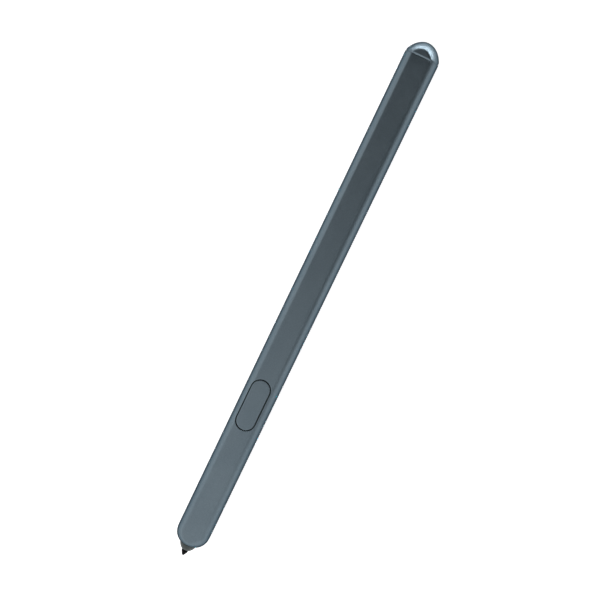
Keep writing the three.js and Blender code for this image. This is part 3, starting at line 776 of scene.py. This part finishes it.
def end_cap_dome():
    """The domed cap: the flat runs on over it and dies out in a half moon."""
    bm = bmesh.new()
    start = PARTING + PARTING_GAP
    shell_r, shell_flat = BODY_R - WALL - CAP_FIT, FLAT - WALL - CAP_FIT
    rim = ring(bm, start - SPIGOT_RIM, shell_r - SPIGOT_TAPER, shell_flat - SPIGOT_TAPER)
    loops = [rim, ring(bm, start, shell_r, shell_flat)]
    for along, lower in CAP_CHAMFER:
        s = start + along
        loops.append(ring(bm, s, cap_radius(s) - lower, FLAT - lower))
    steps = 44
    for i in range(1, steps):
        s = PARTING + CAP_DOME * math.sin(math.pi / 2 * i / steps)
        if s > start + CAP_CHAMFER[-1][0]:
            loops.append(ring(bm, s, cap_radius(s)))
    crown = bm.verts.new(at(PARTING + CAP_DOME, 0, 0))
    skin(bm, loops + [[crown] * len(ANGLES)])
    # The spigot inside the barrel, open at its front.
    spigot = [
        rim,
        ring(bm, start - SPIGOT_LENGTH, shell_r - SPIGOT_TAPER, shell_flat - SPIGOT_TAPER),
        ring(bm, start - SPIGOT_LENGTH, SPIGOT_BORE, SPIGOT_BORE),
        ring(bm, start - SPIGOT_FLOOR, SPIGOT_BORE, SPIGOT_BORE),
    ]
    floor = bm.verts.new(at(start - SPIGOT_FLOOR, 0, 0))
    skin(bm, spigot + [[floor] * len(ANGLES)])
    return finish_mesh(bm, "end_cap_dome", "pen_body", lacquer, "end_cap", smooth_angle=50)


def side_button_key():
    """The long key in its window: a slot shape whose face follows the barrel's surface."""
    bm = bmesh.new()
    radius = WINDOW_W / 2 - BUTTON_GAP
    front, rear = WINDOW[0] + WINDOW_W / 2, WINDOW[1] - WINDOW_W / 2
    arc_steps, straight_steps = 40, 24
    outline = []  # places on the key's middle line, each with its way out
    for start, end, quarter in ((front, rear, math.pi / 2), (rear, front, -math.pi / 2)):
        for i in range(straight_steps):
            way = Vector((0, math.sin(quarter)))
            outline.append((start + (end - start) * i / straight_steps, way))
        for i in range(arc_steps):
            turn = quarter - math.pi * i / arc_steps
            outline.append((end, Vector((math.cos(turn), math.sin(turn)))))

    def key_loop(away, height):
        """A loop of vertices at a distance from the key's middle line."""
        points = [(m + out.x * away, out.y * away) for m, out in outline]
        return [bm.verts.new(at(*p, height(p[1]))) for p in points]

    def face_height(y):
        return surface_height(y) - BUTTON_RECESS

    def underside(_):
        return FLAT - WALL - BUTTON_FIT

    loops = [key_loop(0, underside), key_loop(radius, underside)]
    for away, drop in reversed(ROUNDING):
        low = drop * EDGE
        loops.append(key_loop(radius - away * EDGE, lambda y: face_height(y) - low))
    for share in (0.9, 0.8, 0.7, 0.6, 0.45, 0.3, 0.15, 0.0):
        loops.append(key_loop((radius - EDGE) * share, face_height))
    skin(bm, loops)
    body = node = "side_button"
    return finish_mesh(bm, "side_button_key", body, lacquer, node, smooth_angle=50)


def nose_cone_tip():
    """The cone that closes the barrel round the nib, with its flange and stub inside."""
    bm = bmesh.new()
    tip = rounded_corner((2.06, 1.2), 0.16, 180, 118, 5)
    cone = [(2.2, 1.55), (2.42, 1.73), (2.7, 1.9), (3.1, 2.12), (3.5, 2.3), (3.8, 2.38)]
    flange = [(3.95, 2.4), (6.02, 2.4), (6.02, 2.9), (7.22, 2.9), (7.22, 1.58)]
    stub = [(8.12, 1.58), (8.12, 0.93), (1.9, 0.93)]
    lathe(bm, [(1.9, 0.93)] + tip + cone + flange + stub, 72)
    return finish_mesh(bm, "nose_cone_tip", "pen_body", acetal, "nose_cone", smooth_angle=35)


def nib_point():
    """The nib: a blunt cone on a round shaft, and the thinner tail its holder grips."""
    bm = bmesh.new()
    point = rounded_corner((0.36, 0.0), 0.36, 180, 122, 8)
    cone = [(1.1, 0.81), (1.18, 0.84), (1.28, 0.85)]
    shaft = [(9.3, 0.85), (9.4, 0.75), (9.4, 0.55)]
    tail = [(15.8, 0.55), (16.0, 0.4), (16.0, 0.0)]
    lathe(bm, point + cone + shaft + tail, 48)
    return finish_mesh(bm, "nib_point", "nib", nib_black, "nib", smooth_angle=35)


def sprung_piece(name, node):
    """A spring of the solid's own shape, copied into an object of its own on the pen's body; the
    CAD node is hidden.
    """
    piece = bpy.data.objects.new(name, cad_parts[node].data.copy())
    bpy.context.collection.objects.link(piece)
    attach(piece, "pen_body")
    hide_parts(node)
    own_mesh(piece)


barrel = barrel_shell()
cap = end_cap_dome()
button = side_button_key()
nose = nose_cone_tip()
nib = nib_point()
sprung_piece("nib_return_spring", "pressure_spring")
sprung_piece("switch_snap_dome", "switch_dome")

# ------------------------------------------------------------------ table, lights and camera


def table():
    """The lit sheet that the pen lies on."""
    bm = bmesh.new()
    bmesh.ops.create_grid(bm, x_segments=8, y_segments=8, size=TABLE_WIDTH / 2)
    mesh = bpy.data.meshes.new("table_top")
    bm.to_mesh(mesh)
    bm.free()
    mesh.materials.append(opal_acrylic())
    top = bpy.data.objects.new("table_top", mesh)
    bpy.context.collection.objects.link(top)


def soft_light(name, place, size, radiance, aim):
    """A flat lamp, in metres, whose power makes its face look as bright as the radiance."""
    data = bpy.data.lights.new(name, "AREA")
    data.shape = "RECTANGLE"
    data.size, data.size_y = size
    data.energy = radiance * math.pi * size[0] * size[1]
    light = bpy.data.objects.new(name, data)
    bpy.context.collection.objects.link(light)
    turned = (Vector(aim) - Vector(place)).to_track_quat("-Z", "Y").to_matrix().to_4x4()
    light.matrix_world = Matrix.Translation(place) @ turned


table()
for lamp, place, size, bright in (
    ("nib_side_wall", (-0.6, 0.0, 1.5), (4.0, 3.0), 1.13),
    ("cap_side_strip", (1.0, 0.0, 0.04), (2.4, 0.11), 21.5),
    ("left_low_strip", (0.5, 1.2, 0.42), (2.4, 0.84), 0.74),
    ("right_low_strip", (1.35, -1.2, 0.45), (1.5, 0.9), 1.3),
):
    soft_light(lamp, place, size, bright, (0, 0, place[2]))
soft_light("left_high_panel", (0.35, 0.95, 0.95), (1.6, 0.9), 0.8, (0, 0, 0))

world = bpy.data.worlds.new("studio")
world.use_nodes = True
background = world.node_tree.nodes["Background"]
background.inputs["Color"].default_value = (1, 1, 1, 1)
background.inputs["Strength"].default_value = WORLD_GLOW
bpy.context.scene.world = world
bpy.context.scene.view_settings.view_transform = "Standard"

# The camera looks at AIM from DISTANCE, leaning back from straight above it.
AIM = Vector((0.001661, 0.001218, AXIS_Z * MM))
DISTANCE = 0.35  # metres
LENS = 83.455  # millimetres, on a sensor 36 wide
TILT = math.radians(9.808)  # towards the cap
ROLL = math.radians(5.8)  # towards -Y
LEAN = math.radians(25.6757)  # the pen's lean in the frame

back = Vector(
    (math.sin(TILT), -math.sin(ROLL) * math.cos(TILT), math.cos(ROLL) * math.cos(TILT))
)
up = (Vector((1, 0, 0)) - back * back.x).normalized()
side = up.cross(back)
frame_up = math.cos(LEAN) * up - math.sin(LEAN) * side
frame_side = math.cos(LEAN) * side + math.sin(LEAN) * up
camera_data = bpy.data.cameras.new("camera")
camera_data.lens = LENS
camera_data.sensor_width = 36
camera_data.clip_start = 0.01
camera = bpy.data.objects.new("camera", camera_data)
bpy.context.collection.objects.link(camera)
turn = Matrix((frame_side, frame_up, back)).transposed().to_4x4()
camera.matrix_world = Matrix.Translation(AIM + back * DISTANCE) @ turn
bpy.context.scene.camera = camera
